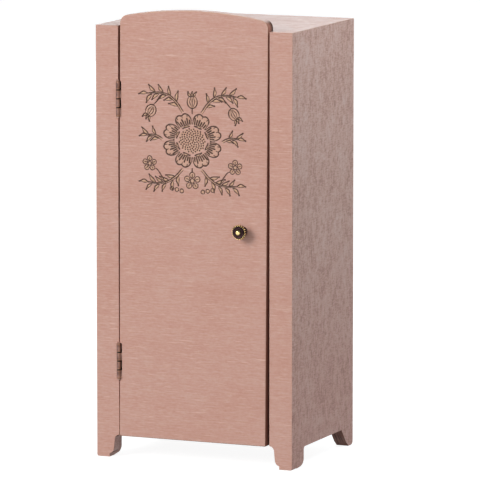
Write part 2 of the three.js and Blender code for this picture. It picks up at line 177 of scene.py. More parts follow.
def middle(node):
    low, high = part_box(node)
    return (low + high) / 2


CABINET_LOW = Vector([min(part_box(b)[0][axis] for b in BOARDS) for axis in range(3)])
CABINET_HIGH = Vector([max(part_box(b)[1][axis] for b in BOARDS) for axis in range(3)])
CABINET_MIDDLE = (CABINET_LOW + CABINET_HIGH) / 2

# ---------- camera, light and floor ----------


def view_back(azimuth, elevation):
    """The direction from the aim to a camera that looks along that azimuth and elevation."""
    a, e = math.radians(azimuth), math.radians(elevation)
    return Vector((math.sin(a) * math.cos(e), -math.cos(a) * math.cos(e), math.sin(e)))


def add_camera():
    data = bpy.data.cameras.new("camera")
    data.lens = VIEW["lens"]
    data.sensor_width = VIEW["sensor"]
    data.clip_end = 20
    camera = bpy.data.objects.new("camera", data)
    aim = Vector((CABINET_MIDDLE.x + AIM_RIGHT, CABINET_MIDDLE.y, AIM_HEIGHT))
    back = view_back(VIEW["azimuth"], VIEW["elevation"])
    camera.location = aim + back * VIEW["distance"]
    camera.rotation_euler = back.to_track_quat("Z", "Y").to_euler()
    bpy.context.scene.collection.objects.link(camera)
    bpy.context.scene.camera = camera


def add_softbox(name, azimuth, elevation, distance, size, watts, colour):
    """A square area light that shines on the wardrobe's middle from that direction."""
    data = bpy.data.lights.new(name, "AREA")
    data.shape = "SQUARE"
    data.size = size
    data.energy = watts
    data.color = colour
    light = bpy.data.objects.new(name, data)
    back = view_back(azimuth, elevation)
    light.location = CABINET_MIDDLE + back * distance
    light.rotation_euler = back.to_track_quat("Z", "Y").to_euler()
    bpy.context.scene.collection.objects.link(light)


def add_world():
    """A plain studio: a bright band round the horizon, dimmer overhead and under the floor."""
    world = bpy.data.worlds.new("studio")
    world.use_nodes = True
    bpy.context.scene.world = world
    tree = world.node_tree
    place = add_node(tree, "ShaderNodeTexCoord")
    split = add_node(tree, "ShaderNodeSeparateXYZ", {0: place.outputs["Generated"]})
    height = add_math(tree, "MULTIPLY_ADD", split.outputs["Z"], 0.5, 0.5)
    ramp = add_ramp(tree, height, WORLD_BANDS)
    tree.links.new(ramp.outputs[0], tree.nodes["Background"].inputs["Color"])


def add_floor():
    bpy.ops.mesh.primitive_plane_add(size=16, location=(0, 3, CAD_BOX[0][2] - 0.02 * MM))
    floor = bpy.context.object
    floor.name = "floor"
    material, tree, shader = new_material("pale_floor")
    shader.inputs["Base Color"].default_value = (FLOOR_SHADE, FLOOR_SHADE, FLOOR_SHADE, 1)
    shader.inputs["Roughness"].default_value = 0.9
    shader.inputs["Emission Color"].default_value = (1, 1, 1, 1)
    shader.inputs["Emission Strength"].default_value = FLOOR_GLOW
    floor.data.materials.append(material)
    floor.visible_diffuse = False


# ---------- node helpers ----------


def add_node(tree, kind, inputs=None, **settings):
    """A shader node with its settings made and its inputs linked to sockets or set to values."""
    node = tree.nodes.new(kind)
    for key, value in settings.items():
        setattr(node, key, value)
    for key, value in (inputs or {}).items():
        if isinstance(value, bpy.types.NodeSocket):
            tree.links.new(value, node.inputs[key])
        else:
            node.inputs[key].default_value = value
    return node


def add_math(tree, operation, *values, clamp=False):
    node = add_node(tree, "ShaderNodeMath", dict(enumerate(values)), operation=operation, use_clamp=clamp)
    return node.outputs[0]


def add_mask(tree, *values):
    """The product of several values."""
    product = values[0]
    for value in values[1:]:
        product = add_math(tree, "MULTIPLY", product, value)
    return product


def weighed(tree, *parts):
    """The sum of (weight, value) parts."""
    total = 0.0
    for weight, value in parts:
        total = add_math(tree, "ADD", total, add_math(tree, "MULTIPLY", value, weight))
    return total


def split_axes(tree, vector):
    return add_node(tree, "ShaderNodeSeparateXYZ", {0: vector}).outputs


def add_ramp(tree, factor, stops):
    """A colour ramp through (position, (r, g, b)) stops."""
    node = add_node(tree, "ShaderNodeValToRGB", {0: factor})
    ramp = node.color_ramp
    while len(ramp.elements) < len(stops):
        ramp.elements.new(1.0)
    for element, (position, colour) in zip(ramp.elements, stops):
        element.position = position
        element.color = (*colour, 1)
    return node


def add_range(tree, value, low, high, to_low=0.0, to_high=1.0):
    inputs = {0: value, 1: low, 2: high, 3: to_low, 4: to_high}
    return add_node(tree, "ShaderNodeMapRange", inputs, clamp=True).outputs[0]


def add_mix(tree, factor, first, second, blend="MIX"):
    """Two colours mixed; either may be a socket or an (r, g, b)."""
    node = add_node(tree, "ShaderNodeMix", data_type="RGBA", blend_type=blend)
    for index, value in ((0, factor), (6, first), (7, second)):
        if isinstance(value, bpy.types.NodeSocket):
            tree.links.new(value, node.inputs[index])
        elif index:
            node.inputs[index].default_value = (*value, 1)
        else:
            node.inputs[index].default_value = value
    return node.outputs[2]


def add_noise(tree, place, grains, detail=2.0, roughness=0.5, shift=(0, 0, 0)):
    """Noise with that many grains per metre along each axis."""
    mapping = add_node(tree, "ShaderNodeMapping", {"Vector": place, "Scale": grains, "Location": shift})
    inputs = {"Vector": mapping.outputs[0], "Scale": 1.0, "Detail": detail, "Roughness": roughness}
    return add_node(tree, "ShaderNodeTexNoise", inputs).outputs["Fac"]


def new_material(name):
    material = bpy.data.materials.new(name)
    material.use_nodes = True
    return material, material.node_tree, material.node_tree.nodes["Principled BSDF"]


# ---------- materials ----------


def object_space(tree):
    """Object-space place, and the facing direction's part along each axis."""
    coords = add_node(tree, "ShaderNodeTexCoord")
    facing = add_node(tree, "ShaderNodeSeparateXYZ", {0: coords.outputs["Normal"]})
    return coords.outputs["Object"], facing.outputs


def read_attribute(tree, name):
    return add_node(tree, "ShaderNodeAttribute", attribute_name=name).outputs["Fac"]


def front_brushwork(tree, place):
    """Short brush streaks along X over faint bands and mottling, and how far each point is a pale streak."""
    streaks = add_noise(tree, place, FRONT_STREAKS, detail=3, roughness=0.6)
    mottle = add_noise(tree, place, FRONT_MOTTLE, detail=2, shift=(7, 4, 1))
    bands = add_noise(tree, place, FRONT_BANDS, detail=2, shift=(4, 1, 9))
    cloud = add_noise(tree, place, FRONT_CLOUD, detail=2, shift=(2, 8, 5))
    pale = add_noise(tree, place, FRONT_PALE, detail=2, shift=(6, 3, 2))
    brushed = weighed(tree, (0.48, streaks), (0.24, mottle), (0.1, bands), (0.18, cloud))
    return brushed, add_range(tree, pale, 0.63, 0.74)


def side_brushwork(tree, place):
    """Short upright strokes crossed by a few level ones, over small soft blotches."""
    upright = add_noise(tree, place, SIDE_UPRIGHT, detail=3, roughness=0.6, shift=(3, 5, 7))
    level = add_noise(tree, place, SIDE_LEVEL, detail=2, roughness=0.6, shift=(11, 2, 5))
    blotches = add_noise(tree, place, SIDE_BLOTCHES, detail=3, shift=(1, 9, 4))
    patches = add_noise(tree, place, SIDE_PATCHES, detail=2, shift=(8, 2, 6))
    return weighed(tree, (0.40, upright), (0.28, level), (0.20, blotches), (0.12, patches))


def gap_shade_masks(tree, place, facing):
    """Masks for painted shade in the gaps: the door's and stiles' narrow edges, less so where the left gap
    closes, and how deep in the gap each point is.
    """
    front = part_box("door_panel")[0].y
    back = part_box("door_panel")[1].y
    at = split_axes(tree, place)
    across = add_math(tree, "ABSOLUTE", at["X"])
    narrow = add_math(tree, "LESS_THAN", across, CABINET_HIGH.x - 2 * MM)
    in_board = add_math(tree, "LESS_THAN", at["Y"], back + 0.2 * MM)
    sideways = add_range(tree, add_math(tree, "ABSOLUTE", facing["X"]), 0.45, 0.8)
    depth = add_range(tree, at["Y"], front + 1.8 * MM, front + 5.1 * MM)
    beside_door = add_math(tree, "GREATER_THAN", at["Z"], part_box("door_panel")[0].z + 0.3 * MM)
    wide = add_range(tree, at["Z"], 45 * MM, 120 * MM, 0.2, 1.0)
    wide = add_math(tree, "MAXIMUM", wide, add_math(tree, "GREATER_THAN", at["X"], 0.0))
    return add_mask(tree, narrow, in_board, sideways, wide), add_mask(tree, depth, beside_door)


def sawn_and_shaded_faces(tree, place, facing):
    """Faces that face down, and faces low on the feet that face forward behind the front boards: partly bare
    sawn wood, partly painted shade under the cabinet. Also dark upright streaks on the forward ones.
    """
    at = split_axes(tree, place)
    low = add_math(tree, "LESS_THAN", at["Z"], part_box("bottom_panel")[0].z + 0.5 * MM)
    behind = add_math(tree, "GREATER_THAN", at["Y"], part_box("door_panel")[1].y + 1 * MM)
    forward = add_range(tree, facing["Y"], -0.4, -0.8)
    under = add_range(tree, facing["Z"], -0.35, -0.8)
    sawn_or_shaded = add_math(tree, "MAXIMUM", add_mask(tree, low, behind, forward), under)
    dark_streaks = add_range(tree, add_noise(tree, place, (700, 40, 90), detail=1, shift=(2, 4, 3)), 0.56, 0.64)
    return sawn_or_shaded, add_mask(tree, low, behind, forward, dark_streaks)


def paint_material():
    """Brushed matt paint: streaks, worn edges and dark carved lines, with painted shade: brown on faces that
    face down or forward under the cabinet (partly bare sawn wood), darker towards the bottom of the sides,
    and darker in the gaps beside the door.
    """
    material, tree, shader = new_material("dusty_pink_paint")
    place, facing = object_space(tree)
    sideways = add_range(tree, add_math(tree, "ABSOLUTE", facing["X"]), 0.6, 0.85)
    streaks, pale = front_brushwork(tree, place)
    crossed = side_brushwork(tree, place)
    front = add_ramp(tree, streaks, FRONT_STOPS).outputs[0]
    front = add_mix(tree, add_math(tree, "MULTIPLY", pale, 0.6), front, PAINT_PALE)
    side = add_ramp(tree, crossed, SIDE_STOPS).outputs[0]
    height = split_axes(tree, place)["Z"]
    # Painted shade: the sides grow darker towards the bottom.
    side = add_mix(tree, add_range(tree, height, 110 * MM, 25 * MM), side, LOW_SIDE_SHADE, blend="MULTIPLY")
    colour = add_mix(tree, sideways, front, side)

    patchy = add_range(tree, add_noise(tree, place, (260, 260, 160), detail=3), 0.4, 0.66, 0.25, 0.8)
    worn = add_mask(tree, read_attribute(tree, "edge"), patchy)
    colour = add_mix(tree, worn, colour, WORN_EDGE)
    edges, depth = gap_shade_masks(tree, place, facing)
    # Painted shade in the gaps beside the door: the narrow edges go brown, and near black deeper in.
    colour = add_mix(tree, add_math(tree, "MULTIPLY", edges, 0.85), colour, GAP_EDGE_SHADE)
    colour = add_mix(tree, add_mask(tree, edges, depth, 0.85), colour, SHADE_AND_GRIME_DARK)
    # Painted shade, partly bare sawn wood: faces that face down, and forward faces on the feet, turn dark
    # brown, with dark upright streaks.
    sawn_or_shaded, dark_streaks = sawn_and_shaded_faces(tree, place, facing)
    colour = add_mix(tree, add_math(tree, "MULTIPLY", sawn_or_shaded, 0.92), colour, SAWN_AND_SHADE_BROWN)
    colour = add_mix(tree, add_math(tree, "MULTIPLY", dark_streaks, 0.8), colour, SHADE_AND_GRIME_DARK)

    tint = add_math(tree, "MULTIPLY", read_attribute(tree, "tint"), 0.65)
    colour = add_mix(tree, tint, colour, CARVED_TAN)
    ink = add_range(tree, read_attribute(tree, "ink"), 0.04, 0.55)
    colour = add_mix(tree, ink, colour, BURNT_BROWN)
    tree.links.new(colour, shader.inputs["Base Color"])

    dull = add_mix(tree, sideways, streaks, crossed)
    raw = add_math(tree, "MAXIMUM", sawn_or_shaded, edges)
    roughness = add_math(tree, "MAXIMUM", add_range(tree, dull, 0.35, 0.65, 0.5, 0.4), raw)
    tree.links.new(roughness, shader.inputs["Roughness"])
    shader.inputs["Specular IOR Level"].default_value = 0.35
    inputs = {"Height": dull, "Strength": 0.35, "Distance": 0.2 * MM}
    tree.links.new(add_node(tree, "ShaderNodeBump", inputs).outputs[0], shader.inputs["Normal"])
    return material


def metal_material(name, dark, light, bare, rough=(0.34, 0.5), metallic=0.95):
    """Aged metal: cloudy tarnish, bare where the edge attribute is high, with fine pitting."""
    material, tree, shader = new_material(name)
    place, _ = object_space(tree)
    cloud = add_noise(tree, place, (420, 420, 420), detail=3)
    colour = add_ramp(tree, cloud, [(0.35, dark), (0.65, light)]).outputs[0]
    patchy = add_range(tree, add_noise(tree, place, (1500, 1500, 1500), detail=2), 0.3, 0.6, 0.4, 1.0)
    worn = add_math(tree, "MULTIPLY", read_attribute(tree, "edge"), patchy)
    tree.links.new(add_mix(tree, worn, colour, bare), shader.inputs["Base Color"])
    tree.links.new(add_range(tree, worn, 0, 1, rough[1], rough[0]), shader.inputs["Roughness"])
    pits = add_noise(tree, place, (3200, 3200, 3200), detail=2)
    inputs = {"Height": pits, "Strength": 0.2, "Distance": 0.05 * MM}
    tree.links.new(add_node(tree, "ShaderNodeBump", inputs).outputs[0], shader.inputs["Normal"])
    shader.inputs["Metallic"].default_value = metallic
    return material, tree, shader


def knuckle_rings(tree, place):
    """Where the hinges' knuckles meet, the rings beside those joints (rubbed, partly a painted highlight),
    and the pins' ends, for a painted highlight.
    """
    barrel_low, barrel_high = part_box("upper_hinge_pin")
    knuckle = (barrel_high.z - barrel_low.z - 2 * PIN_TIP) / KNUCKLES
    upper = middle("upper_hinge_cabinet_leaf").z
    lower = middle("lower_hinge_cabinet_leaf").z
    height = split_axes(tree, place)["Z"]
    is_lower = add_math(tree, "LESS_THAN", height, (upper + lower) / 2)
    centre = add_range(tree, is_lower, 0, 1, upper, lower)
    along = add_math(tree, "DIVIDE", add_math(tree, "SUBTRACT", height, centre), knuckle)
    from_joint = add_math(tree, "PINGPONG", along, 0.5)
    joint = add_range(tree, from_joint, 0.055, 0.095, 1, 0)
    ring = add_range(tree, from_joint, 0.15, 0.22, 1, 0)
    from_centre = add_math(tree, "ABSOLUTE", along)
    between = add_math(tree, "LESS_THAN", from_centre, KNUCKLES / 2 - 0.5)
    ends = add_range(tree, from_centre, KNUCKLES / 2 + 0.02, KNUCKLES / 2 + 0.08)
    return add_mask(tree, joint, between), ring, ends


def bronze_material():
    """Tarnished bronze with a painted tan reflection on faces turned right and painted shade on faces turned
    left, dark joints, rubbed rings partly painted as a highlight, and a painted highlight on the pins' ends.
    """
    material, tree, shader = metal_material("aged_bronze", *BRONZE, metallic=0.6)
    place, facing = object_space(tree)
    joint, ring, ends = knuckle_rings(tree, place)
    colour = shader.inputs["Base Color"].links[0].from_socket
    # Painted reflection on faces turned right (tan) and painted shade on faces turned left (dark brown).
    right = add_range(tree, facing["X"], 0.1, 0.6, 0.0, 0.35)
    left = add_range(tree, facing["X"], -0.55, -0.8, 0.0, 0.85)
    colour = add_mix(tree, right, colour, BRONZE_SHEEN_AND_RUB)
    colour = add_mix(tree, left, colour, BRONZE_FLANK_SHADE)
    # Rings beside the joints: rubbing, and partly a painted highlight on the knuckles' rims.
    colour = add_mix(tree, add_math(tree, "MULTIPLY", ring, 0.45), colour, BRONZE_SHEEN_AND_RUB)
    colour = add_mix(tree, joint, colour, SHADE_AND_GRIME_DARK)
    # Painted highlight on the pins' ends.
    colour = add_mix(tree, add_math(tree, "MULTIPLY", ends, 0.7), colour, BRONZE_END_HIGHLIGHT)
    tree.links.new(colour, shader.inputs["Base Color"])
    return material


def beech_material():
    """Bare beech turned along X: fine grain lines and short darker flecks."""
    material, tree, shader = new_material("bare_beech")
    place, _ = object_space(tree)
    grain = add_noise(tree, place, (35, 1100, 1100), detail=4, roughness=0.6)
    flecks = add_noise(tree, place, (300, 2600, 2600), detail=1, shift=(5, 2, 8))
    colour = add_ramp(tree, grain, BEECH_GRAIN)
    fleck = add_range(tree, flecks, 0.66, 0.76, 0.0, 0.7)
    tree.links.new(add_mix(tree, fleck, colour.outputs[0], BEECH_FLECK), shader.inputs["Base Color"])
    tree.links.new(add_range(tree, grain, 0.3, 0.7, 0.62, 0.5), shader.inputs["Roughness"])
    inputs = {"Height": grain, "Strength": 0.25, "Distance": 0.1 * MM}
    tree.links.new(add_node(tree, "ShaderNodeBump", inputs).outputs[0], shader.inputs["Normal"])
    return material


# ---------- shapes ----------


def finish_piece(bm, name, material, body, slot, *nodes):
    """Turns a bmesh into a piece that rides on a body and stands for CAD nodes."""
    mesh = bpy.data.meshes.new(name)
    bm.to_mesh(mesh)
    bm.free()
    for polygon in mesh.polygons:
        polygon.use_smooth = True
    mesh.materials.append(material)
    piece = bpy.data.objects.new(name, mesh)
    bpy.context.scene.collection.objects.link(piece)
    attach(piece, body)
    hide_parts(*nodes)
    shade = piece.modifiers.new("flat_faces", "WEIGHTED_NORMAL")
    shade.keep_sharp = True
    return piece


def cad_shape(node):
    """A CAD node's shape with its seams welded and its flat faces made whole."""
    bm = bmesh.new()
    bm.from_mesh(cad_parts[node].data)
    bmesh.ops.remove_doubles(bm, verts=bm.verts, dist=0.002 * MM)
    bmesh.ops.dissolve_limit(bm, angle_limit=math.radians(0.5), verts=bm.verts, edges=bm.edges)
    return bm


def inside_any(point, boxes):
    return any(all(low[i] <= point[i] <= high[i] for i in range(3)) for low, high in boxes)


def round_edges(bm, radius, sharp_boxes=(), segments=3, least_degrees=35):
    """Rounds a shape's edges, apart from those in the boxes, and marks the rounded strips as edge."""
    edges = []
    for edge in bm.edges:
        if edge.calc_face_angle(0) > math.radians(least_degrees):
            centre = (edge.verts[0].co + edge.verts[1].co) / 2
            if inside_any(centre, sharp_boxes):
                edge.smooth = False
            else:
                edges.append(edge)
    settings = {"offset": radius, "segments": segments, "profile": 0.5, "affect": "EDGES"}
    made = set(bmesh.ops.bevel(bm, geom=edges, clamp_overlap=False, **settings)["faces"])
    layer = bm.verts.layers.float.new("edge")
    for vert in bm.verts:
        vert[layer] = float(all(face in made for face in vert.link_faces))


def grown_box(node, margin):
    low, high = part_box(node)
    return low - Vector((margin,) * 3), high + Vector((margin,) * 3)


# ---------- the door's carved ornament ----------


def smooth_curve(points, step=0.35):
    """A smooth line through a few points, as closely spaced points."""
    p = np.array(points, float)
    ends = np.vstack([2 * p[0] - p[1], p, 2 * p[-1] - p[-2]])
    line = []
    for a, b, c, d in zip(ends, ends[1:], ends[2:], ends[3:]):
        count = max(2, int(np.linalg.norm(c - b) / step))
        t = np.linspace(0, 1, count, endpoint=False)[:, None]
        bend, twist = 2 * a - 5 * b + 4 * c - d, 3 * b - a - 3 * c + d
        line.append(0.5 * (2 * b + (c - a) * t + bend * t**2 + twist * t**3))
    return np.vstack([*line, p[-1:]])


def turned_by(vector, degrees):
    a = math.radians(degrees)
    x, z = vector
    return np.array((x * math.cos(a) - z * math.sin(a), x * math.sin(a) + z * math.cos(a)))


def oval(centre, across, up, start=0, end=360, steps=24):
    """Points on an oval, from one angle to another in degrees."""
    angles = np.radians(np.linspace(start, end, steps + 1))
    return np.column_stack([centre[0] + across * np.cos(angles), centre[1] + up * np.sin(angles)])


class Relief:
    """Carved lines and tinted hollows on a fine grid. Lengths are millimetres from the ornament's centre."""

    def __init__(self, centre, half_width, half_height, pitch, seed):
        self.low = np.array((-half_width, -half_height))
        self.counts = np.round(-2 * self.low / pitch).astype(int)
        self.steps = -2 * self.low / self.counts
        self.xs = self.low[0] + self.steps[0] * np.arange(self.counts[0] + 1)
        self.zs = self.low[1] + self.steps[1] * np.arange(self.counts[1] + 1)
        self.centre = np.array(centre)
        self.ink = np.zeros((len(self.xs), len(self.zs)))
        self.tint = np.zeros_like(self.ink)
        self.side = 1
        self.dice = random.Random(seed)

    def placed(self, points):
        """Points on the side being drawn: -1 is the mirror image of 1."""
        return np.array(points, float) * (self.side, 1)

    def window(self, points, margin):
        """The part of the grid round some points, as two slices with their coordinates."""
        first = np.floor((np.min(points, axis=0) - margin - self.low) / self.steps).astype(int)
        last = np.ceil((np.max(points, axis=0) + margin - self.low) / self.steps).astype(int) + 1
        first = np.clip(first, 0, self.counts)
        last = np.clip(last, 1, self.counts + 1)
        part = (slice(first[0], last[0]), slice(first[1], last[1]))
        return part, self.xs[part[0], None], self.zs[None, part[1]]

    def carve(self, part, away, strength):
        """Deepens part of the grid by how near each point is to the middle of a cut, 0 to 1."""
        cut = strength * np.clip(1 - away**2, 0, 1) ** 0.7
        self.ink[part] = np.maximum(self.ink[part], cut)

    def line(self, points, width=LINE_WIDTH, strength=1.0, taper=0.25):
        """A carved line, thinner towards its ends and uneven, as one cut by hand is."""
        points = self.placed(points)
        total = len(points) - 1
        phase = self.dice.uniform(0, 2 * math.pi)
        for index, (a, b) in enumerate(zip(points, points[1:])):
            along = (index + 0.5) / total
            thin = min(1.0, 0.45 + 0.55 * min(along, 1 - along) / taper) if taper else 1.0
            radius = 0.5 * width * thin
            part, x, z = self.window([a, b], radius)
            d = b - a
            t = np.clip(((x - a[0]) * d[0] + (z - a[1]) * d[1]) / max(d @ d, 1e-9), 0, 1)
            away = np.hypot(x - a[0] - t * d[0], z - a[1] - t * d[1]) / radius
            self.carve(part, away, strength * (0.84 + 0.16 * math.sin(phase + index)))

    def dot(self, centre, radius, strength=1.0):
        centre = self.placed(centre)
        part, x, z = self.window([centre], radius)
        self.carve(part, np.hypot(x - centre[0], z - centre[1]) / radius, strength)

    def hollow(self, outline, amount=0.8):
        """A shallow tan hollow inside a closed outline."""
        outline = self.placed(outline)
        part, x, z = self.window(outline, 0)
        inside = np.zeros((x.shape[0], z.shape[1]), bool)
        for (ax, az), (bx, bz) in zip(outline, np.roll(outline, -1, axis=0)):
            if az != bz:
                crossing = ax + (z - az) * (bx - ax) / (bz - az)
                inside ^= ((az > z) != (bz > z)) & (x < crossing)
        self.tint[part] = np.maximum(self.tint[part], amount * inside)

    def ring(self, centre, radius, width=0.45):
        outline = oval(centre, radius, radius, steps=14)
        self.line(outline, width, 0.95, taper=0)
        self.hollow(outline, 0.6)

    def leaf(self, base, tip, fat=0.3, bend=0.1, strength=0.95):
        """A pointed leaf: two curved sides, one cut deeper, tan between them and darkest at the tip."""
        base, tip = np.array(base, float), np.array(tip, float)
        stem = tip - base
        across = np.array((-stem[1], stem[0]))
        sides = []
        for side in (1, -1):
            shoulder = base + 0.22 * stem + across * (0.6 * bend + 0.36 * side * fat)
            belly = base + 0.5 * stem + across * (bend + 0.5 * side * fat)
            sides.append(smooth_curve([base, shoulder, belly, tip]))
        self.hollow(np.vstack([sides[0], sides[1][::-1]]), 0.85)
        self.line(sides[0], strength=strength, taper=0.15)
        self.line(sides[1], 0.75 * LINE_WIDTH, strength * 0.8, taper=0.3)
        self.dot(tip, 0.42)

    def stem(self, points, width=0.95):
        """A stem that narrows towards its end: two lines with a tan strip between them."""
        line = smooth_curve(points)
        ahead = np.gradient(line, axis=0)
        across = np.column_stack([-ahead[:, 1], ahead[:, 0]]) / np.linalg.norm(ahead, axis=1)[:, None]
        slim = np.linspace(1, 0.4, len(line))[:, None] * width / 2
        left, right = line + across * slim, line - across * slim
        self.hollow(np.vstack([left, right[::-1]]), 0.6)
        self.line(left, strength=0.95, taper=0.1)
        self.line(right, 0.7 * LINE_WIDTH, 0.75, taper=0.1)
        return line


def draw_petal(relief, spot, ticks):
    """One petal with a notch in its rim. spot(across, out) gives its points: -1 to 1 and 0 to 1."""
    rim = []
    for u in np.linspace(-1, 1, 33):
        swell = (1 - abs(u) ** 3) ** 0.55
        notch = 0.13 * math.exp(-((u / 0.17) ** 2))
        rim.append(spot(0.94 * u, (1 - notch) * swell))
    relief.line(rim, 1.15 * LINE_WIDTH, taper=0.1)
    relief.hollow(rim, 0.35)
    for index in range(ticks):
        u = (2 * index + 1) / ticks - 1
        reach = 0.36 + 0.16 * (index % 2) + relief.dice.uniform(-0.05, 0.05)
        relief.line([spot(0.8 * u, 0.02), spot(0.82 * u, reach)], 1.3 * LINE_WIDTH, taper=0.5)
    for u in (-0.5, 0, 0.5):
        relief.line([spot(u, 0.68), spot(u, 0.84)], 0.8 * LINE_WIDTH, 0.7, taper=0.5)


def draw_bloom(relief, across, up, petals=8):
    """The open flower in the middle: a ring of petals, a ring of slim leaves and a stippled heart."""
    half = 180 / petals

    def polar(angle, share):
        a = math.radians(angle)
        return (share * across * math.cos(a), share * up * math.sin(a))

    for number in range(petals):
        middle_angle = 2 * half * (number + 0.5)

        def spot(u, out):
            return polar(middle_angle + u * half, BLOOM_INNER + (1 - BLOOM_INNER) * out)

        draw_petal(relief, spot, ticks=6)
        start, end = polar(middle_angle - 0.6 * half, 0.53), polar(middle_angle + 0.6 * half, 0.53)
        relief.leaf(start, end, fat=0.26, bend=-0.12)

    dots = 96
    for index in range(dots):
        share = 0.44 * math.sqrt((index + 0.5) / dots)
        relief.dot(polar(index * GOLDEN_ANGLE, share), 0.4)
    relief.hollow(oval((0, 0), 0.46 * across, 0.46 * up), 0.4)


def draw_bud(relief, centre, radius, tilt):
    """A closed bud: an oval with folds inside, opening between three sepals. Tilt is where it points."""
    def spot(x, z):
        return np.array(centre) + radius * turned_by((x, z), tilt - 90)

    relief.line([spot(0.85 * math.cos(a), math.sin(a)) for a in np.radians(np.linspace(-235, 55, 24))])
    relief.hollow([spot(0.85 * math.cos(a), math.sin(a)) for a in np.radians(np.linspace(0, 360, 24))], 0.4)
    for fold in (-0.42, 0, 0.42):
        crease = smooth_curve([spot(0.3 * fold, -0.8), spot(fold, 0), spot(0.4 * fold, 0.75)])
        relief.line(crease, 0.8 * LINE_WIDTH, 0.8)
    for lean in (-0.7, 0, 0.7):
        relief.leaf(spot(0.35 * lean, 0.75), spot(lean, 1.55), fat=0.36)


def draw_small_flower(relief, centre, reach, petals=5):
    """A small flower of round petals about a ring, with a tick on each petal."""
    relief.ring(centre, 0.26 * reach)
    for number in range(petals):
        way = turned_by((1, 0), 90 + 360 * number / petals)
        relief.ring(np.array(centre) + 0.68 * reach * way, 0.33 * reach)
        relief.line([np.array(centre) + share * reach * way for share in (0.5, 0.78)], 0.8 * LINE_WIDTH, 0.8)


def draw_spray(relief, start, end, bow, leaves, length):
    """A leafy stem that bows to its left by a share of its length, with a leaf at its end."""
    start, end = np.array(start, float), np.array(end, float)
    chord = end - start
    across = np.array((-chord[1], chord[0])) * bow
    line = relief.stem([start + t * chord + across * math.sin(math.pi * t) for t in (0, 0.25, 0.5, 0.75, 1)])
    for index in range(leaves):
        at = int((0.16 + 0.72 * index / max(1, leaves - 1)) * (len(line) - 1))
        ahead = line[at + 1] - line[at]
        side = 1 if index % 2 else -1
        lean = side * (46 + relief.dice.uniform(-6, 6))
        way = turned_by(ahead / np.linalg.norm(ahead), lean)
        base = line[at] + 0.8 * way
        relief.leaf(base, base + way * length * relief.dice.uniform(0.88, 1.1), bend=-0.1 * side)
    ahead = line[-1] - line[-2]
    relief.leaf(line[-1], line[-1] + ahead / np.linalg.norm(ahead) * length)
    return line


def draw_ornament(relief):
    """A mirror-symmetric garland: a round bloom with leafy sprays, buds and small flowers round it."""
    across, up = BLOOM_SIZE
    draw_bloom(relief, across, up)
    draw_bud(relief, (0, up + 5.0), 2.9, 90)
    relief.line([(0, up - 0.2), (0, up + 2.2)])
    draw_small_flower(relief, (0, -up - 5.6), 3.9)
    relief.line([(0, -up), (0, -up - 1.7)])
    for side in (-1, 1):
        relief.side = side
        upper = draw_spray(relief, (0.32 * across, up + 0.1), (22.0, up + 8.0), 0.2, 9, 4.3)
        draw_bud(relief, (20.4, up + 0.2), 2.9, -58)
        relief.line(smooth_curve([upper[int(0.62 * len(upper))], (17.0, up + 5.0), (19.2, up + 2.8)]))
        lower = draw_spray(relief, (0.32 * across, -up - 0.5), (21.8, -up - 7.2), -0.16, 9, 4.3)
        draw_small_flower(relief, (21.0, -up + 1.4), 3.4)
        relief.line(smooth_curve([lower[int(0.55 * len(lower))], (16.8, -up - 1.6), (18.6, -up - 0.6)]))
        draw_spray(relief, (across + 0.2, 0), (across + 7.6, 1.6), 0.12, 4, 3.9)
        for berry in range(3):
            relief.ring((5.2 + 2.4 * berry, -up - 10.4 + 0.5 * berry), 0.9)
    relief.side = 1


# ---------- pieces ----------


def build_boards(paint):
    """The cabinet's boards. Edges at the mortises, nail holes and rail sockets stay sharp."""
    boxes = [grown_box("hanging_rail", SOCKET_MARGIN)]
    for hinge in HINGES:
        boxes.append(grown_box(f"{hinge}_hinge_cabinet_leaf", LEAF_MARGIN))
        for place in NAIL_PLACES:
            boxes.append(grown_box(f"{hinge}_hinge_cabinet_nail_{place}", NAIL_MARGIN))
    for node in BOARDS:
        bm = cad_shape(node)
        round_edges(bm, BOARD_ROUND, boxes)
        finish_piece(bm, f"painted_{node}", paint, "cabinet", "painted_wood", node)


def cut_rectangle(bm, low, high):
    """Splits the shape's faces along the four sides of an upright rectangle."""
    for axis, value in ((0, low[0]), (0, high[0]), (2, low[1]), (2, high[1])):
        at, facing = Vector((0, 0, 0)), Vector((0, 0, 0))
        at[axis], facing[axis] = value, 1
        geometry = [*bm.verts, *bm.edges, *bm.faces]
        bmesh.ops.bisect_plane(bm, geom=geometry, dist=1e-7, plane_co=at, plane_no=facing)


def put_relief_in(bm, relief, front):
    """Puts the carved grid in place of the flat part of a front face that it covers."""
    low = (relief.centre + relief.low) * MM
    high = (relief.centre - relief.low) * MM
    cut_rectangle(bm, low, high)
    gap = 1e-6
    covered = []
    for face in bm.faces:
        centre = face.calc_center_median()
        on_front = abs(centre.y - front) < gap
        if on_front and low[0] < centre.x < high[0] and low[1] < centre.z < high[1]:
            covered.append(face)
    rim = {edge for face in covered for edge in face.edges if sum(f in covered for f in edge.link_faces) == 1}
    bmesh.ops.delete(bm, geom=covered, context="FACES_ONLY")
    inner = [edge for edge in bm.edges if not edge.link_faces]
    bmesh.ops.delete(bm, geom=inner, context="EDGES")
    for edge in rim:
        lengthwise = abs(edge.verts[0].co.x - edge.verts[1].co.x)
        pitch = relief.steps[0] if lengthwise > gap else relief.steps[1]
        cuts = round(edge.calc_length() / (pitch * MM)) - 1
        bmesh.ops.subdivide_edges(bm, edges=[edge], cuts=cuts)
    patch = relief_mesh(relief, front)
    bm.from_mesh(patch)
    bpy.data.meshes.remove(patch)
    bmesh.ops.remove_doubles(bm, verts=[v for v in bm.verts if v.is_boundary], dist=0.01 * MM)


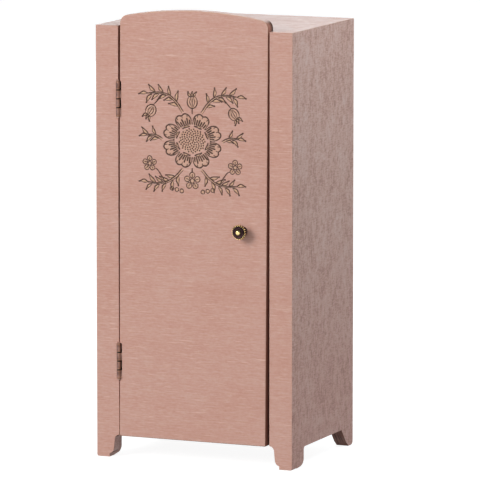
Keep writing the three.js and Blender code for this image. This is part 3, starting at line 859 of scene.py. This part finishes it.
def relief_mesh(relief, front):
    depth = LINE_DEPTH * relief.ink + HOLLOW_DEPTH * relief.tint
    depth[[0, -1], :] = 0
    depth[:, [0, -1]] = 0
    across, up = relief.centre
    x, z = np.meshgrid((across + relief.xs) * MM, (up + relief.zs) * MM, indexing="ij")
    points = np.column_stack([x.ravel(), (front + depth).ravel(), z.ravel()])
    columns, rows = relief.ink.shape
    index = np.arange(columns * rows).reshape(columns, rows)
    quads = np.stack([index[:-1, :-1], index[1:, :-1], index[1:, 1:], index[:-1, 1:]], axis=-1).reshape(-1, 4)
    mesh = bpy.data.meshes.new("relief")
    mesh.from_pydata(points.tolist(), [], quads.tolist())
    return mesh


def store_relief(mesh, relief, front):
    """Keeps the carving's ink and tint on the mesh's points for the paint to read."""
    co = np.empty(len(mesh.vertices) * 3)
    mesh.vertices.foreach_get("co", co)
    co = co.reshape(-1, 3)
    corner = relief.centre + relief.low
    column = np.round((co[:, 0] / MM - corner[0]) / relief.steps[0]).astype(int)
    row = np.round((co[:, 2] / MM - corner[1]) / relief.steps[1]).astype(int)
    columns, rows = relief.ink.shape
    in_columns, in_rows = (column >= 0) & (column < columns), (row >= 0) & (row < rows)
    on_grid = in_columns & in_rows & (co[:, 1] < front + 1 * MM)
    for name, values in (("ink", relief.ink), ("tint", relief.tint)):
        stored = np.zeros(len(co), np.float32)
        stored[on_grid] = values[column[on_grid], row[on_grid]]
        mesh.attributes.new(name, "FLOAT", "POINT").data.foreach_set("value", stored)


def build_door(paint):
    """The door, with the carved ornament in its front."""
    boxes = [grown_box(f"{hinge}_hinge_door_leaf", LEAF_MARGIN) for hinge in HINGES]
    boxes += [grown_box(node, SOCKET_MARGIN) for node in ("knob_screw", "door_magnet")]
    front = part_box("door_panel")[0].y
    relief = Relief(ORNAMENT_CENTRE, ORNAMENT_HALF_WIDTH, ORNAMENT_HALF_HEIGHT, RELIEF_PITCH, seed=7)
    draw_ornament(relief)
    bm = cad_shape("door_panel")
    round_edges(bm, DOOR_ROUND, boxes)
    put_relief_in(bm, relief, front)
    door = finish_piece(bm, "painted_door", paint, "door", "painted_wood", "door_panel")
    store_relief(door.data, relief, front)


def knob_rows():
    """The knob's profile from the bottom of its bore to the tip of its boss, as (radius, out) in metres."""
    low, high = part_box("knob_body")
    size = np.array((high.x - low.x, 2 * (high.y - low.y))) / 2
    bore = np.array([(0.0, 0.5), (0.26, 0.5), (0.26, 0.0), (0.65, 0.0)])
    curve = smooth_curve(KNOB_BACK + KNOB_CUP + KNOB_RIM + KNOB_DISH + KNOB_BOSS, step=0.02)
    return np.vstack([bore, curve]) * size, size


def build_knob(brass):
    """The turned knob with a ring of round teeth. The edge attribute is high where it is rubbed bright."""
    rows, (outer, reach) = knob_rows()
    low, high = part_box("knob_body")
    axis = (low + high) / 2
    columns = KNOB_TEETH * TOOTH_COLUMNS
    angles = 2 * math.pi * np.arange(columns) / columns
    gap = ((1 + np.cos(KNOB_TEETH * angles)) / 2) ** TOOTH_GAP_POWER
    bm = bmesh.new()
    layer = bm.verts.layers.float.new("edge")
    rings = []
    for radius, out in rows[1:-1]:
        toothed = np.clip((radius / outer - TOOTH_START) / TOOTH_RISE, 0, 1) * float(out > 0.5 * reach)
        ring = []
        for angle, notch in zip(angles, gap):
            r = radius * (1 - TOOTH_DEPTH * toothed * notch)
            y = high.y - out + TOOTH_SINK * reach * toothed * notch
            vert = bm.verts.new((axis.x + r * math.cos(angle), y, axis.z + r * math.sin(angle)))
            vert[layer] = knob_shine(radius / outer, out / reach, toothed, notch)
            ring.append(vert)
        rings.append(ring)
    for first, second in zip(rings, rings[1:]):
        for index in range(columns):
            after = (index + 1) % columns
            bm.faces.new((first[index], first[after], second[after], second[index]))
    for ring, (_, out) in ((rings[0], rows[0]), (rings[-1], rows[-1])):
        tip = bm.verts.new((axis.x, high.y - out, axis.z))
        tip[layer] = ring[0][layer]
        for index in range(columns):
            bm.faces.new((ring[index], ring[(index + 1) % columns], tip))
    bmesh.ops.recalc_face_normals(bm, faces=bm.faces)
    finish_piece(bm, "toothed_knob", brass, "door", "aged_brass", "knob_body")


def knob_shine(radius, out, toothed, notch):
    """How bright the knob is rubbed: tooth tips and boss bright, dish, gaps and waist dark."""
    tooth = 2.2 * toothed * (1 - notch) ** 3
    boss = min(1.6, max(0.2, (out - 0.91) / 0.05)) * float(radius < 0.38 and out > 0.8)
    flank = 0.35 * float(radius > 0.5 and 0.4 < out < 0.6)
    return max(tooth, boss, flank)


def build_small_piece(node, material, body, slot, radius=METAL_ROUND, segments=2):
    """A CAD node's own shape with its edges softened."""
    bm = cad_shape(node)
    round_edges(bm, radius, segments=segments)
    finish_piece(bm, f"finished_{node}", material, body, slot, node)


def build_hinges(bronze):
    for hinge in HINGES:
        build_small_piece(f"{hinge}_hinge_pin", bronze, "cabinet", "aged_bronze")
        for body in ("cabinet", "door"):
            build_small_piece(f"{hinge}_hinge_{body}_leaf", bronze, body, "aged_bronze")
            for place in NAIL_PLACES:
                build_small_piece(f"{hinge}_hinge_{body}_nail_{place}", bronze, body, "aged_bronze")


def main():
    bpy.context.scene.view_settings.view_transform = "Standard"
    add_camera()
    add_world()
    for softbox in SOFTBOXES:
        add_softbox(*softbox)
    add_floor()
    paint = paint_material()
    build_boards(paint)
    build_door(paint)
    build_hinges(bronze_material())
    brass, _, _ = metal_material("aged_brass", *BRASS, rough=(0.13, 0.45))
    build_knob(brass)
    steel, _, _ = metal_material("plated_steel", *STEEL, rough=(0.25, 0.36))
    build_small_piece("knob_screw", steel, "door", "bright_steel")
    build_small_piece("door_magnet", steel, "door", "bright_steel")
    build_small_piece("cabinet_magnet", steel, "cabinet", "bright_steel")
    build_small_piece("hanging_rail", beech_material(), "cabinet", "bare_wood", radius=0.3 * MM, segments=3)


main()
